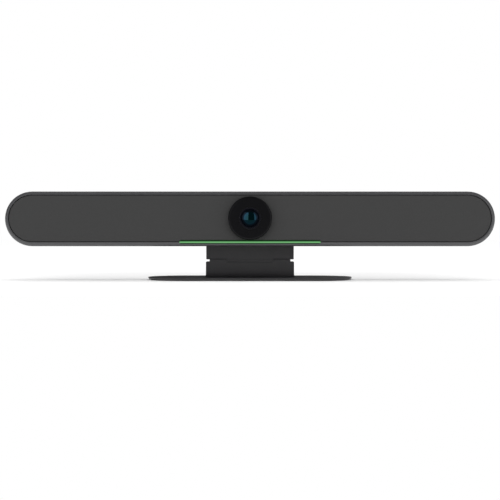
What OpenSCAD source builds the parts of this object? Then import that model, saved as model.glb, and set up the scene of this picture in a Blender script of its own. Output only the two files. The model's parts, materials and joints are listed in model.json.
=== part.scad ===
// Conference camera: a wide video bar with a central lens, a status light and
// a tilting table stand. Millimetres, +Z up, front towards -Y, and the origin
// on the table under the middle of the foot.
// Forward distances are measured from that middle towards the front.

/* [Bar] */
// Width of the bar, end to end
bar_w = 600; // [560:5:660]
// Height of the bar
bar_h = 67; // [66:0.5:71]
// Depth of the bar, front face to back
bar_depth = 68; // [66:0.5:76]
// Forward distance of the bar's front face
bar_front = 28; // [26:0.5:30]
// Thickness of the housing walls
wall = 2.5; // [2:0.1:2.8]
// Rounding of the bar's back edge
back_round = 16; // [12:0.5:17]
// Open seam between the front frame and the rear housing
seam = 0.3; // [0.2:0.05:0.5]

/* [Front] */
// Width of the rim round the grille, on average
rim_w = 4.5; // [4.3:0.1:5.5]
// How far the grille sits above the bar's middle
grille_rise = 0.5; // [0:0.1:0.8]
// Rounding of the rim's outer edge
rim_round = 3.9; // [2.5:0.1:4]
// Depth of the rim, front face to seam
rim_depth = 6; // [5.5:0.1:7]
// How far the locating lip reaches into the rear housing
lip_depth = 4; // [3:0.1:4.4]
// Thickness of the locating lip
lip_t = 1.8; // [1.2:0.1:2]
// Open groove between the grille and the rim
groove_w = 0.8; // [0.4:0.05:1]
// How far the cloth lies behind the front face
grille_recess = 0.6; // [0.3:0.1:1]
// Thickness of the grille cloth
cloth_t = 0.8; // [0.5:0.05:1]
// Thickness of the carrier behind the cloth
carrier_t = 2.6; // [2:0.1:2.9]
// Thickness of the baffle that the speakers and boards hang on
baffle_t = 2.5; // [2.2:0.1:3]
// Number of windows in the grille carrier on each side
window_count = 5; // [3:1:6]
// Width of the ribs between those windows
rib_w = 5; // [3:0.5:7]
// Width of the carrier's edge round its windows
carrier_edge = 4; // [3:0.1:5]

/* [Status light] */
// Length of the light
light_w = 172.5; // [150:0.5:190]
// Height of the light
light_h = 4; // [3.2:0.1:4.2]
// How far the light's middle lies below the bar's middle
light_drop = 28.3; // [28.2:0.05:28.6]
// Number of emitters behind the light
led_count = 24; // [12:1:32]
// Side of one emitter
led_side = 1.6; // [1:0.1:2]
// Height of one emitter
led_t = 0.8; // [0.5:0.1:1]
// Height of the emitters' board
light_board_h = 6.6; // [5:0.1:6.8]

/* [Camera] */
// How far the lens sits above the bar's middle
lens_rise = 0.6; // [0.5:0.1:1.2]
// Radius of the round shroud
shroud_r = 26.6; // [25:0.1:26.8]
// How far the shroud stands in front of the cloth
shroud_proud = 12; // [9:0.5:13]
// Rounding of the shroud's front edge
shroud_round = 2.4; // [1:0.1:4]
// Thickness of the shroud's walls
shroud_t = 2.2; // [1.8:0.1:2.6]
// Radius of the lens barrel
barrel_r = 13.2; // [12.6:0.1:13.6]
// Radius of the glass that shows
glass_r = 10.5; // [9.5:0.1:11]
// Radius of the front glass's outer sphere
glass_curve_r = 20; // [17:0.5:26]
// Side of the square sensor board
sensor_board_side = 36; // [34:0.5:40]

/* [Speakers] */
// Radius of the speaker's mounting flange
speaker_r = 25.5; // [24.5:0.1:26.5]
// Radius of the round window in the baffle
speaker_window_r = 21.5; // [20.5:0.1:22]
// Place of a speaker's axis from the middle, as a share of the bar's width
speaker_share = 0.316; // [0.3:0.002:0.34]
// Radius of the magnet
magnet_r = 16; // [14:0.5:17]
// Length of the magnet and its plates
magnet_l = 13; // [10:0.5:14]
// Depth of the basket between its flange and its magnet
basket_depth = 15; // [13:0.5:16]

/* [Back] */
// Width of the socket recess
recess_w = 130; // [124:1:136]
// Height of the socket recess
recess_h = 24; // [22:0.5:26]
// Depth of the socket recess
recess_depth = 10; // [8:0.5:11]
// Corner rounding of the socket recess
recess_round = 6; // [3:0.5:8]
// Number of cooling slots on each side
vent_count = 10; // [6:1:11]
// Width of one cooling slot
vent_w = 2; // [1.5:0.1:2.5]
// Height of one cooling slot
vent_h = 16; // [10:0.5:18]
// Distance between the two threaded wall mounting points
wall_mount_pitch = 150; // [150:0.5:160]

/* [Stand] */
// Width of the leg and its bracket
stand_w = 109.8; // [104:0.1:114]
// How far the bracket's sides stand in from the leg's
bracket_inset = 0.4; // [0.1:0.05:0.6]
// Thickness of the leg, which is also the hinge barrel's diameter
leg_t = 14; // [13:0.1:15]
// How far the leg stands behind the middle of the foot
leg_back = 5; // [3:0.5:7]
// Height of the hinge axis above the table
hinge_z = 24; // [22:0.5:26]
// Height of the bar's underside above the hinge axis
bar_lift = 18; // [17:0.5:20]
// Open height between leg and bracket at the hinge
hinge_gap = 2.6; // [2.5:0.1:3.5]
// How far the hinge barrel's ends stand in from the leg's sides
notch_depth = 4.5; // [4:0.1:6]
// Corner rounding of the leg's top
leg_corner = 1.2; // [0.8:0.1:2]
// Corner rounding of the bracket's bottom
bracket_corner = 0.8; // [0.5:0.1:1.5]
// Concave rounding where the leg's front and back meet the foot
foot_fillet = 6.5; // [4:0.5:8]
// Concave rounding where the leg's sides meet the foot
side_fillet = 2.5; // [1:0.1:3]
// Width of the foot
foot_w = 253; // [240:1:262]
// Depth of the foot
foot_depth = 88; // [84:0.5:90]
// Thickness of the foot plate
foot_t = 3; // [2:0.1:4]
// Rounding of the foot plate's upper edge
foot_edge = 0.6; // [0.3:0.1:1.2]
// Height of the foot plate's upright edge, between its roundings
foot_rim = 0.3; // [0.1:0.1:0.6]
// Thickness of the rubber pad under the foot
pad_t = 0.8; // [0.5:0.1:2]
// How far the pad stays inside the foot's edge
pad_inset = 14; // [8:0.5:18]

/* [Hidden] */
$fn = 96;
// Overrun of every cut past the face that it opens
cut = 1;
// Gap between still pieces that seat on each other
seat = 0.1;
// Gap between a piece and the hole or tube that locates it
slip = 0.15;
// Gap between pieces that turn or slide on each other
running = 0.03;

// Places along the forward direction, from the back of the bar to its front
bar_back = bar_front - bar_depth;
rim_back = bar_front - rim_depth;
housing_front = rim_back - seam;
cloth_front = bar_front - grille_recess;
carrier_front = cloth_front - cloth_t;
carrier_back = carrier_front - carrier_t;
baffle_front = carrier_back - seat;
baffle_back = baffle_front - baffle_t;
lip_back = rim_back - lip_depth;
recess_floor = bar_back + recess_depth;
recess_inside = recess_floor + wall;

// Radii of the bar's outline, measured from its middle line
bar_r = bar_h / 2;
inner_r = bar_r - wall;
rim_r = bar_r - rim_w;
grille_r = rim_r - groove_w;
carrier_r = grille_r - cloth_t;
straight = bar_w - bar_h;
bar_z = hinge_z + bar_lift + bar_r;

// Status light, its board and the slot that it stands in
light_gap = 0.15;
light_bottom = -light_drop - light_h / 2;
light_flange = 1.2;
light_flange_t = 1.6;
light_board_t = 1.2;
light_board_front = lip_back - seam;
light_back = light_board_front + led_t + seat;
light_board_edge = 0.5;
light_board_top = -inner_r + light_board_edge + light_board_h;

// Camera
lens_z = lens_rise;
shroud_front = cloth_front + shroud_proud;
shroud_gap = 0.3;
mouth_r = barrel_r + slip;
tube_t = 2;
tube_bore_r = barrel_r + slip;
tube_r = tube_bore_r + tube_t;
neck_bore_r = tube_r + slip;
neck_t = 2;
neck_r = neck_bore_r + neck_t;
neck_hole_r = neck_r + slip;
camera_flange_w = 5;
camera_flange_r = neck_hole_r + camera_flange_w;
camera_flange_t = 2.4;
camera_screw_r = 0.95;
camera_screw_skin = 0.6;
camera_screw_ring_r = (neck_hole_r + camera_flange_r) / 2;
glass_front = shroud_front - seat;
glass_sag = glass_curve_r - sqrt(pow(glass_curve_r, 2) - pow(glass_r, 2));
glass_edge = 0.4;
glass_rim_front = glass_front - glass_sag;
glass_rim_t = 2;
glass_back_r = 12;
glass_hollow_r = 6.5;
ring_recess = 0.8;
ring_front = shroud_front - ring_recess;
ring_lip_t = 0.5;
ring_back = glass_rim_front - ring_lip_t;
ring_flare = 1.5;
barrel_front = ring_back - seat;
glass_seat = glass_rim_front - glass_rim_t - seat;
middle_lens_r = 7;
middle_lens_t = 3;
middle_lens_curve_r = 14;
lens_space = 3;
rear_lens_space = 4.5;
iris_r = 2.2;
iris_t = 0.6;
rear_lens_r = 5;
rear_lens_t = 3;
rear_lens_curve_r = 9;
lens_fit = 0.05;
middle_front = glass_seat - lens_space;
middle_back = middle_front - middle_lens_t;
iris_back = middle_back - lens_fit - iris_t;
rear_front = iris_back - rear_lens_space;
rear_back = rear_front - rear_lens_t;
shelf_t = 1;
barrel_back = rear_back - shelf_t;
filter_t = 0.6;
filter_r = 5.5;
web_t = 1;
web_hole_r = 4.5;
web_front = barrel_back - seat - filter_t - seat;
sensor_space = 2.4;
camera_back = web_front - web_t - sensor_space;
sensor_board_t = 1.6;
sensor_size = [9, 7];
sensor_t = 1;
sensor_screw_pitch_share = 0.78;
sensor_post_r = 2.4;
sensor_screw_l = 5;
sensor_post_at = sensor_screw_pitch_share * sensor_board_side / 2;

// Speakers
speaker_x = speaker_share * bar_w;
speaker_flange_t = 2;
basket_t = 1.2;
basket_neck_r = magnet_r - 2 * basket_t;
basket_ring_t = 1.5;
basket_window_share = 0.46;
basket_rib_share = 0.7;
basket_windows = 4;
surround_w = 3;
surround_t = 0.5;
surround_r = speaker_window_r - surround_w / 2 - slip;
speaker_back = baffle_back - seat - speaker_flange_t;
cone_r = surround_r - surround_w / 2 - slip;
cone_t = 0.5;
cone_neck_r = 8;
cone_depth = 9;
cap_height = 3;
// Radius of the dust cap's sphere, from its height and its foot's radius
cap_curve_r = (pow(cone_neck_r, 2) + pow(cap_height, 2)) / (2 * cap_height);
basket_back = speaker_back - basket_depth;
motor_gap = 0.4;
voice_coil_r = cone_neck_r - motor_gap;
coil_slot_w = 1.2;
magnet_step = 1.2;
magnet_plate_t = 2.4;

// Microphones
mic_count = 3;
mic_start = 30;
mic_space = 26;
mic_pitch = (speaker_x - speaker_r - mic_space - mic_start) / mic_count;
mic_first = mic_start + mic_pitch / 2;
mic_z_share = 0.78;
mic_z = mic_z_share * rim_r;
mic_board_h = 7;
mic_board_t = 1.2;
mic_board_w = mic_pitch * mic_count;
mic_board_x = mic_first + mic_pitch * (mic_count - 1) / 2;
mic_size = [4, 3];
mic_t = 1.1;
mic_hole_r = 0.8;
mic_back = baffle_back - seat - mic_board_t;

// Main board, its heat sink and its sockets
socket_l = 14.4;
board_back = recess_floor + socket_l;
board_t = 1.6;
board_front = board_back + board_t;
board_w = 180;
board_h = 44;
board_rise = 4;
board_post_r = 3;
board_post_x = board_w / 2 - 2 * board_post_r;
board_post_z = board_h / 2 - 2 * board_post_r;
board_screw_r = 1.2;
board_screw_head_r = 2.2;
board_screw_head_t = 1.4;
board_screw_l = 8;
chip_side = 22;
chip_t = 1.8;
sink_w = 64;
sink_h = 34;
sink_base_t = 2;
sink_fin_t = 1.2;
sink_fin_h = 6;
sink_fins = 10;
socket_hole_gap = 0.25;
socket_wall = 0.8;
socket_back_t = 2;
tongue_t = 0.9;
jack_side = 11;
jack_collar_r = 4.6;
jack_bore_r = 3.2;
jack_pin_r = 1;
audio_side = 8;
audio_collar_r = 3.2;
audio_bore_r = 1.8;
data_w = 9.2;
data_h = 3.6;
video_w = 15.4;
video_h = 6.2;
video_tongue_rise = 0.8;
video_tongue_w = 9.2;
network_w = 16.4;
network_h = 14;
network_mouth_w = 11.8;
network_mouth_h = 8.4;
network_key_w = 6;
network_key_h = 1.8;
button_r = 3;
button_proud = 0.9;
button_travel = 0.8;
button_flange_r = 4;
button_flange_t = 1;
button_slip = 0.2;
switch_side = 6;
switch_t = 3.6;
switch_plunger_r = 1.7;
// Places of the button and sockets along the recess, as shares of its width
button_share = -0.4;
jack_share = -0.27;
data_share = -0.12;
video_share = 0.03;
network_share = 0.22;
audio_share = 0.39;

// Screw towers, inserts and cooling slots in the rear housing
tower_r = 4.5;
tower_z = 12.5;
tower_space = 32;
tower_x = speaker_x - tower_space;
tower_end_share = 0.35;
tower_end_x = straight / 2 + tower_end_share * bar_r;
boss_l = 26;
tower_front = baffle_back - boss_l;
tower_places = [for (side = [-1, 1]) each [[side * tower_end_x, 0],
    [side * tower_x, tower_z], [side * tower_x, -tower_z]]];
screw_r = 1.45;
screw_head_r = 2.8;
screw_head_t = 2;
screw_seat_t = 3;
screw_bite = 12;
screw_well_r = screw_head_r + slip;
screw_head_back = tower_front - seat - screw_seat_t;
insert_r = 2.8;
insert_bore_r = 2;
insert_l = 8;
insert_wall = 1.8;
insert_boss_r = insert_r + insert_wall;
vent_fill_share = 0.68;
vent_start = wall_mount_pitch / 2 + insert_boss_r;
vent_run = tower_x - tower_r - vent_start;
vent_pitch = vent_fill_share * vent_run / vent_count;
vent_x = vent_start + vent_run / 2;
lock_slot_w = 7;
lock_slot_h = 3;
lock_slot_x = straight / 2 - 4 * lock_slot_w;

// Bracket under the bar
bracket_w = stand_w - 2 * bracket_inset;
bracket_t = 3.5;
bracket_reach = 19;
bracket_top_z = bar_z - bar_r;
bracket_bottom_z = hinge_z + hinge_gap / 2;
bracket_edge_r = 4;
stand_screw_edge = 12;
stand_screw_reach = 6.5;
stand_screw_x = stand_w / 2 - stand_screw_edge;
stand_screw_y = leg_back + leg_t / 2 + stand_screw_reach;
stand_screw_places = [for (side = [-1:1]) [side * stand_screw_x, stand_screw_y]];
stand_screw_r = 1.95;
stand_screw_hole_r = 2.2;
stand_screw_head_r = 3.6;
stand_screw_head_t = 2.2;
stand_screw_l = 9;
stand_boss_l = 9;

// Hinge, with its axis along X
barrel_hinge_r = leg_t / 2;
barrel_end = stand_w / 2 - notch_depth;
knuckle_half_share = 0.56;
knuckle_half = knuckle_half_share * barrel_end;
washer_t = 0.5;
washer_step = 0.6;
washer_r = barrel_hinge_r - washer_step;
knuckle_space = washer_t + 2 * seat;
hinge_relief = 0.4;
pin_r = 2.5;
bush_bore_r = pin_r + running;
bush_r = 4;
pin_head_r = 4.4;
pin_head_t = 3;
pin_nose = 0.8;
cap_t = 1.6;
cap_hollow_r = 5.2;
cap_well = 7;
spring_t = 0.5;
spring_rise = 0.6;
spring_count = 2;
spring_stack = spring_count * spring_rise + seat;
nut_t = 3;
nut_r = 4.6;
leg_top_z = hinge_z - hinge_gap / 2;
foot_top_z = pad_t + foot_t;
foot_under = foot_t - foot_edge - foot_rim;
// Small upright lip at the toe of a concave rounding
toe = 0.15;

// Moves a piece from the bar's own middle to its place above the stand
module on_bar() {
    translate([0, 0, bar_z]) children();
}

// A rectangle with half-round ends, about the origin
module stadium(w, h) {
    square([w - h, h], center = true);
    for (side = [-1, 1]) translate([side * (w - h) / 2, 0]) circle(h / 2);
}

// A rectangle with round corners, about the origin
module round_rect(w, h, r) {
    square([w - 2 * r, h], center = true);
    square([w, h - 2 * r], center = true);
    for (x = [-1, 1], y = [-1, 1]) translate([x * (w / 2 - r), y * (h / 2 - r)]) circle(r);
}

// Extrudes an outline in X and Z from one forward distance to another
module slab(back, front) {
    translate([0, -back, 0]) rotate([90, 0, 0]) linear_extrude(front - back) children();
}

// Turns a profile of radius and forward distance about a forward axis
module turned(x = 0, z = 0, start = 0, angle = 360) {
    translate([x, 0, z]) rotate([90, 0, 0]) rotate_extrude(angle = angle, start = start) children();
}

// A round bar along the forward direction
module rod(x, z, r, back, front) {
    translate([x, -back, z]) rotate([90, 0, 0]) cylinder(r = r, h = front - back);
}

// Carries a profile of radius and forward distance once round the bar's outline
module round_the_bar() {
    for (turn = [0, 180]) rotate([0, turn, 0]) {
        turned(x = straight / 2, start = -90, angle = 180) children();
        translate([-straight / 2, 0, 0]) rotate([0, -90, 180]) linear_extrude(straight) children();
    }
}

// A profile from the middle out to radius r, with its outer corners rounded
module rounded_profile(r, back, front, back_r, front_r) {
    translate([0, back + back_r]) square([r, front - front_r - back - back_r]);
    if (back_r > 0) {
        translate([0, back]) square([r - back_r, back_r]);
        intersection() {
            translate([r - back_r, back]) square(back_r);
            translate([r - back_r, back + back_r]) circle(back_r);
        }
    }
    if (front_r > 0) {
        translate([0, front - front_r]) square([r - front_r, front_r]);
        intersection() {
            translate([r - front_r, front - front_r]) square(front_r);
            translate([r - front_r, front - front_r]) circle(front_r);
        }
    }
}

// A flat plate of the bar's outline out to radius r
module bar_plate(r, back, front) {
    slab(back, front) stadium(straight + 2 * r, 2 * r);
}

// The same about the grille's middle
module grille_plate(r, back, front) {
    translate([0, 0, grille_rise]) bar_plate(r, back, front);
}

// The slot that the status light stands in, which also opens the lip behind the rim
module light_slot(front) {
    slab(lip_back - cut, front) translate([0, -light_drop])
        stadium(light_w + 2 * light_gap, light_h + 2 * light_gap);
}

// The rear half of the bar: a shell with the socket recess, cooling slots and screw towers
module rear_housing() {
    color([0.17, 0.17, 0.175]) on_bar() difference() {
        union() {
            difference() {
                round_the_bar() rounded_profile(bar_r, bar_back, housing_front, back_round, 0);
                round_the_bar()
                    rounded_profile(inner_r, bar_back + wall, housing_front + cut, back_round - wall, 0);
            }
            slab(bar_back + wall / 2, recess_inside)
                round_rect(recess_w + 2 * wall, recess_h + 2 * wall, recess_round + wall);
            for (p = tower_places) rod(p[0], p[1], tower_r, bar_back + wall / 2, tower_front - seat);
            for (side = [-1, 1])
                rod(side * wall_mount_pitch / 2, 0, insert_boss_r, bar_back + wall / 2,
                bar_back + insert_l + wall);
            for (x = [-1, 1], z = [-1, 1])
                rod(x * board_post_x, board_rise + z * board_post_z, board_post_r, bar_back + wall / 2,
                    board_back - seat);
            stand_bosses();
        }
        slab(bar_back - cut, recess_floor) round_rect(recess_w, recess_h, recess_round);
        socket_holes();
        for (p = tower_places) {
            rod(p[0], p[1], screw_well_r, bar_back - cut, screw_head_back);
            rod(p[0], p[1], screw_r + slip, screw_head_back - cut, tower_front + cut);
        }
        for (side = [-1, 1]) {
            rod(side * wall_mount_pitch / 2, 0, insert_r + running, bar_back - cut,
                bar_back + insert_l + seat);
            for (i = [0:vent_count - 1])
                slab(bar_back - cut, bar_back + wall + cut)
                    translate([side * vent_x + (i - (vent_count - 1) / 2) * vent_pitch, 0]) rotate(90)
                        stadium(vent_h, vent_w);
        }
        for (x = [-1, 1], z = [-1, 1])
            rod(x * board_post_x, board_rise + z * board_post_z, board_screw_r + running,
                board_back - board_screw_l, board_back + cut);
        for (p = stand_screw_places)
            translate([p[0], p[1], -bar_r - cut])
                cylinder(r = insert_r + running, h = cut + wall + insert_l + seat);
        slab(bar_back - cut, bar_back + wall + cut) translate([lock_slot_x, 0])
            stadium(lock_slot_w, lock_slot_h);
    }
}

// The bosses on the floor of the housing that take the stand's screws
module stand_bosses() {
    for (p = stand_screw_places)
        translate([p[0], p[1], -bar_r + wall / 2]) cylinder(r = insert_boss_r, h = wall / 2 + stand_boss_l);
}

// Openings in the recess's floor for the sockets and the button
module socket_holes() {
    back = recess_floor - cut;
    front = recess_inside + cut;
    rod(recess_w * jack_share, 0, jack_collar_r + socket_hole_gap, back, front);
    rod(recess_w * audio_share, 0, audio_collar_r + socket_hole_gap, back, front);
    rod(recess_w * button_share, 0, button_r + button_slip, back, front);
    slab(back, front) {
        translate([recess_w * data_share, 0])
            stadium(data_w + 2 * socket_hole_gap, data_h + 2 * socket_hole_gap);
        translate([recess_w * video_share, 0])
            square([video_w + 2 * socket_hole_gap, video_h + 2 * socket_hole_gap], center = true);
        translate([recess_w * network_share, 0])
            square([network_w + 2 * socket_hole_gap, network_h + 2 * socket_hole_gap], center = true);
    }
}

// The front moulding: rounded rim, locating lip and the baffle behind the grille
module front_frame() {
    color([0.2, 0.2, 0.205]) on_bar() difference() {
        union() {
            round_the_bar() difference() {
                rounded_profile(bar_r, rim_back, bar_front, 0, rim_round);
                translate([0, rim_back - cut]) square([carrier_r, rim_depth + 2 * cut]);
            }
            round_the_bar() translate([inner_r - slip - lip_t, lip_back])
                square([lip_t, lip_depth + wall / 2]);
            bar_plate(inner_r - slip - lip_t / 2, baffle_back, baffle_front);
            for (p = tower_places) rod(p[0], p[1], tower_r, tower_front, baffle_back + baffle_t / 2);
        }
        grille_plate(rim_r, baffle_front, bar_front + cut);
        light_slot(bar_front + cut);
        rod(0, lens_z, neck_hole_r, baffle_back - cut, baffle_front + cut);
        for (side = [-1, 1]) {
            rod(side * speaker_x, 0, speaker_window_r, baffle_back - cut, baffle_front + cut);
            for (i = [0:mic_count - 1])
                rod(side * (mic_first + i * mic_pitch), mic_z, mic_hole_r, baffle_back - cut,
                    baffle_front + cut);
        }
        for (p = tower_places)
            rod(p[0], p[1], screw_r + running, tower_front - cut, tower_front + screw_bite + cut);
        camera_screw_holes(baffle_back - cut, baffle_front - camera_screw_skin);
    }
}

// Four round holes on a ring about the lens
module camera_screw_holes(back, front) {
    for (a = [0:90:270])
        rod(camera_screw_ring_r * cos(a), lens_z + camera_screw_ring_r * sin(a),
            camera_screw_r + running, back, front);
}

// The ribbed plate that the cloth is stretched over
module grille_carrier() {
    first = neck_hole_r + carrier_edge;
    pitch = (straight / 2 - first + rib_w) / window_count;
    color([0.12, 0.12, 0.12]) on_bar() difference() {
        grille_plate(carrier_r, carrier_back, carrier_front);
        for (side = [-1, 1], i = [0:window_count - 1])
            slab(carrier_back - cut, carrier_front + cut)
                translate([side * (first + (i + 0.5) * pitch - rib_w / 2), grille_rise])
                    round_rect(pitch - rib_w, 2 * (carrier_r - carrier_edge), rib_w);
        rod(0, lens_z, neck_hole_r, carrier_back - cut, carrier_front + cut);
        light_slot(bar_front + cut);
    }
}

// The acoustic cloth, wrapped over the carrier's edge
module grille_cloth() {
    color([0.27, 0.27, 0.27]) on_bar() difference() {
        grille_plate(grille_r, carrier_back, cloth_front);
        grille_plate(carrier_r, carrier_back - cut, carrier_front);
        rod(0, lens_z, neck_hole_r, carrier_back - cut, cloth_front + cut);
        light_slot(bar_front + cut);
    }
}

// The green light guide in the rim's lower edge, with a flange behind the baffle
module status_light() {
    color([0.25, 0.85, 0.35]) on_bar() {
        slab(light_back, bar_front) translate([0, -light_drop]) stadium(light_w, light_h);
        slab(baffle_back - seat - light_flange_t, baffle_back - seat)
            translate([-light_w / 2 + light_h, light_bottom + light_h / 2])
                square([light_w - 2 * light_h, light_h / 2 + light_flange]);
    }
}

// The narrow board behind the light guide
module status_light_board() {
    color([0.05, 0.3, 0.15]) on_bar()
        slab(light_board_front - light_board_t, light_board_front)
            translate([-light_w / 2, light_board_top - light_board_h]) square([light_w, light_board_h]);
}

// The row of emitters on that board
module status_leds() {
    pitch = (light_w - 2 * light_h) / led_count;
    color([0.9, 0.9, 0.8]) on_bar()
        for (i = [0:led_count - 1])
            slab(light_board_front, light_board_front + led_t)
                translate([(i - (led_count - 1) / 2) * pitch, -light_drop]) square(led_side, center = true);
}

// The black disc round the lens: a cup with a neck that passes through the grille
module lens_shroud() {
    back = cloth_front + shroud_gap;
    color([0.09, 0.09, 0.1]) on_bar() turned(z = lens_z) difference() {
        union() {
            rounded_profile(shroud_r, back, shroud_front, 0, shroud_round);
            translate([0, baffle_back]) square([neck_r, back - baffle_back]);
        }
        translate([0, baffle_back - cut]) square([mouth_r, shroud_front - baffle_back + 2 * cut]);
        translate([0, baffle_back - cut])
            square([neck_bore_r, shroud_front - shroud_t - baffle_back + cut]);
        translate([neck_r, back - cut])
            square([shroud_r - shroud_t - neck_r, shroud_front - shroud_t - back + cut]);
    }
}

// A lens element between two forward distances, domed in front and hollow behind if asked
module element(r, back, front, front_curve_r, back_curve_r) {
    on_bar() turned(z = lens_z) difference() {
        intersection() {
            translate([0, back]) square([r, front - back]);
            translate([0, front - front_curve_r]) circle(front_curve_r);
        }
        if (back_curve_r > 0)
            translate([0, back - sqrt(pow(back_curve_r, 2) - pow(glass_hollow_r, 2))]) circle(back_curve_r);
    }
}

// The wide-angle front glass, domed in front and hollow behind
module front_lens() {
    color([0.1, 0.25, 0.35, 0.6])
        element(glass_r + glass_edge, glass_rim_front - glass_rim_t, glass_front, glass_curve_r,
        glass_back_r);
}

// The middle glass of the lens
module middle_lens() {
    color([0.2, 0.35, 0.4, 0.6]) element(middle_lens_r, middle_back, middle_front, middle_lens_curve_r, 0);
}

// The small rear glass of the lens
module rear_lens() {
    color([0.2, 0.35, 0.4, 0.6]) element(rear_lens_r, rear_back, rear_front, rear_lens_curve_r, 0);
}

// The blackened ring that holds the front glass down
module lens_retaining_ring() {
    lip_bore = glass_r;
    color([0.05, 0.05, 0.06]) on_bar() turned(z = lens_z) difference() {
        polygon([
            [lip_bore, glass_rim_front + seat],
            [lip_bore + ring_flare, ring_front],
            [barrel_r, ring_front],
            [barrel_r, ring_back],
            [glass_r + glass_edge + lens_fit, ring_back],
            [glass_r + glass_edge + lens_fit, glass_rim_front + seat],
        ]);
        translate([0, glass_front - glass_curve_r]) circle(glass_curve_r + lens_fit);
    }
}

// The stepped tube that holds the glasses
module lens_barrel() {
    color([0.07, 0.07, 0.075]) on_bar() turned(z = lens_z) difference() {
        translate([0, barrel_back]) square([barrel_r, barrel_front - barrel_back]);
        translate([0, glass_seat])
            square([glass_r + glass_edge + lens_fit, barrel_front - glass_seat + cut]);
        translate([0, middle_front]) square([glass_r - glass_edge, glass_seat - middle_front + cut]);
        translate([0, iris_back]) square([middle_lens_r + lens_fit, middle_front - iris_back + cut]);
        translate([0, rear_back]) square([rear_lens_r + lens_fit, iris_back - rear_back + cut]);
        translate([0, barrel_back - cut])
            square([rear_lens_r - shelf_t, rear_back - barrel_back + 2 * cut]);
    }
}

// The thin plate with the lens's aperture
module iris_plate() {
    color([0.03, 0.03, 0.03]) on_bar() turned(z = lens_z)
        translate([iris_r, iris_back]) square([middle_lens_r - iris_r, iris_t]);
}

// The tube and flange that carry the lens on the back of the baffle
module camera_mount() {
    color([0.1, 0.1, 0.11]) on_bar() difference() {
        union() {
            turned(z = lens_z) difference() {
                union() {
                    translate([0, camera_back]) square([tube_r, carrier_front - camera_back]);
                    translate([0, baffle_back - seat - camera_flange_t])
                        square([camera_flange_r, camera_flange_t]);
                }
                translate([0, web_front]) square([tube_bore_r, carrier_front - web_front + cut]);
                translate([0, web_front - web_t - cut]) square([web_hole_r, web_t + 2 * cut]);
                translate([0, camera_back - cut])
                    square([tube_bore_r - sensor_space, web_front - web_t - camera_back + cut]);
            }
            for (x = [-1, 1], z = [-1, 1])
                sensor_post(x, z, sensor_post_r, camera_back, baffle_back - seat - camera_flange_t / 2);
        }
        camera_screw_holes(baffle_back - camera_flange_t - cut, baffle_back + cut);
        for (x = [-1, 1], z = [-1, 1])
            sensor_post(x, z, camera_screw_r + running, camera_back - cut, camera_back + sensor_screw_l);
    }
}

// A round post behind one corner of the sensor board
module sensor_post(x, z, r, back, front) {
    rod(x * sensor_post_at, lens_z + z * sensor_post_at, r, back, front);
}

// A small round-headed screw along the forward direction, with its head at the back
module small_screw(x, z, r, head_r, head_t, back, front) {
    rod(x, z, r, back, front);
    rod(x, z, head_r, back - head_t, back);
}

// The four screws that hold the camera mount to the baffle
module camera_mount_screws() {
    back = baffle_back - seat - camera_flange_t;
    color([0.6, 0.6, 0.62]) on_bar()
        for (a = [0:90:270])
            small_screw(camera_screw_ring_r * cos(a), lens_z + camera_screw_ring_r * sin(a), camera_screw_r,
                2 * camera_screw_r, camera_screw_r, back, baffle_front - camera_screw_skin);
}

// The glass that keeps infrared light off the sensor
module infrared_filter() {
    color([0.4, 0.1, 0.15, 0.6]) on_bar() rod(0, lens_z, filter_r, web_front, web_front + filter_t);
}

// The image sensor package
module image_sensor() {
    color([0.15, 0.15, 0.2]) on_bar()
        slab(camera_back - seat, camera_back - seat + sensor_t) translate([0, lens_z])
            square(sensor_size, center = true);
}

// The square board behind the lens
module sensor_board() {
    back = camera_back - seat - sensor_board_t;
    color([0.05, 0.3, 0.15]) on_bar() difference() {
        slab(back, camera_back - seat) translate([0, lens_z])
            round_rect(sensor_board_side, sensor_board_side, sensor_post_r);
        for (x = [-1, 1], z = [-1, 1])
            sensor_post(x, z, camera_screw_r + slip, back - cut, camera_back + cut);
    }
}

// The four screws of the sensor board
module sensor_board_screws() {
    back = camera_back - seat - sensor_board_t;
    color([0.6, 0.6, 0.62]) on_bar()
        for (x = [-1, 1], z = [-1, 1])
            small_screw(x * sensor_post_at, lens_z + z * sensor_post_at, camera_screw_r,
                2 * camera_screw_r, camera_screw_r,
                back, camera_back + sensor_screw_l - seat);
}

// A speaker's flange and the open cone-shaped basket behind it
module speaker_basket(side) {
    color([0.2, 0.2, 0.2]) on_bar() difference() {
        turned(x = side * speaker_x) {
            polygon([
                [speaker_window_r, speaker_back + speaker_flange_t],
                [speaker_r, speaker_back + speaker_flange_t],
                [speaker_r, speaker_back],
                [speaker_window_r + basket_t, speaker_back],
                [magnet_r + basket_t, basket_back + basket_ring_t],
                [magnet_r + basket_t, basket_back],
                [basket_neck_r, basket_back],
                [basket_neck_r, basket_back + basket_ring_t],
                [magnet_r - basket_t / 2, basket_back + basket_ring_t],
                [speaker_window_r, speaker_back],
            ]);
        }
        for (i = [0:basket_windows - 1])
            translate([side * speaker_x, -(basket_back + basket_depth / 2 + basket_ring_t / 2), 0])
                rotate([0, i * 360 / basket_windows, 0])
                    translate([speaker_window_r, 0, 0])
                        cube([speaker_window_r, basket_depth * basket_window_share,
                            speaker_window_r * basket_rib_share], center = true);
    }
}

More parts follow.
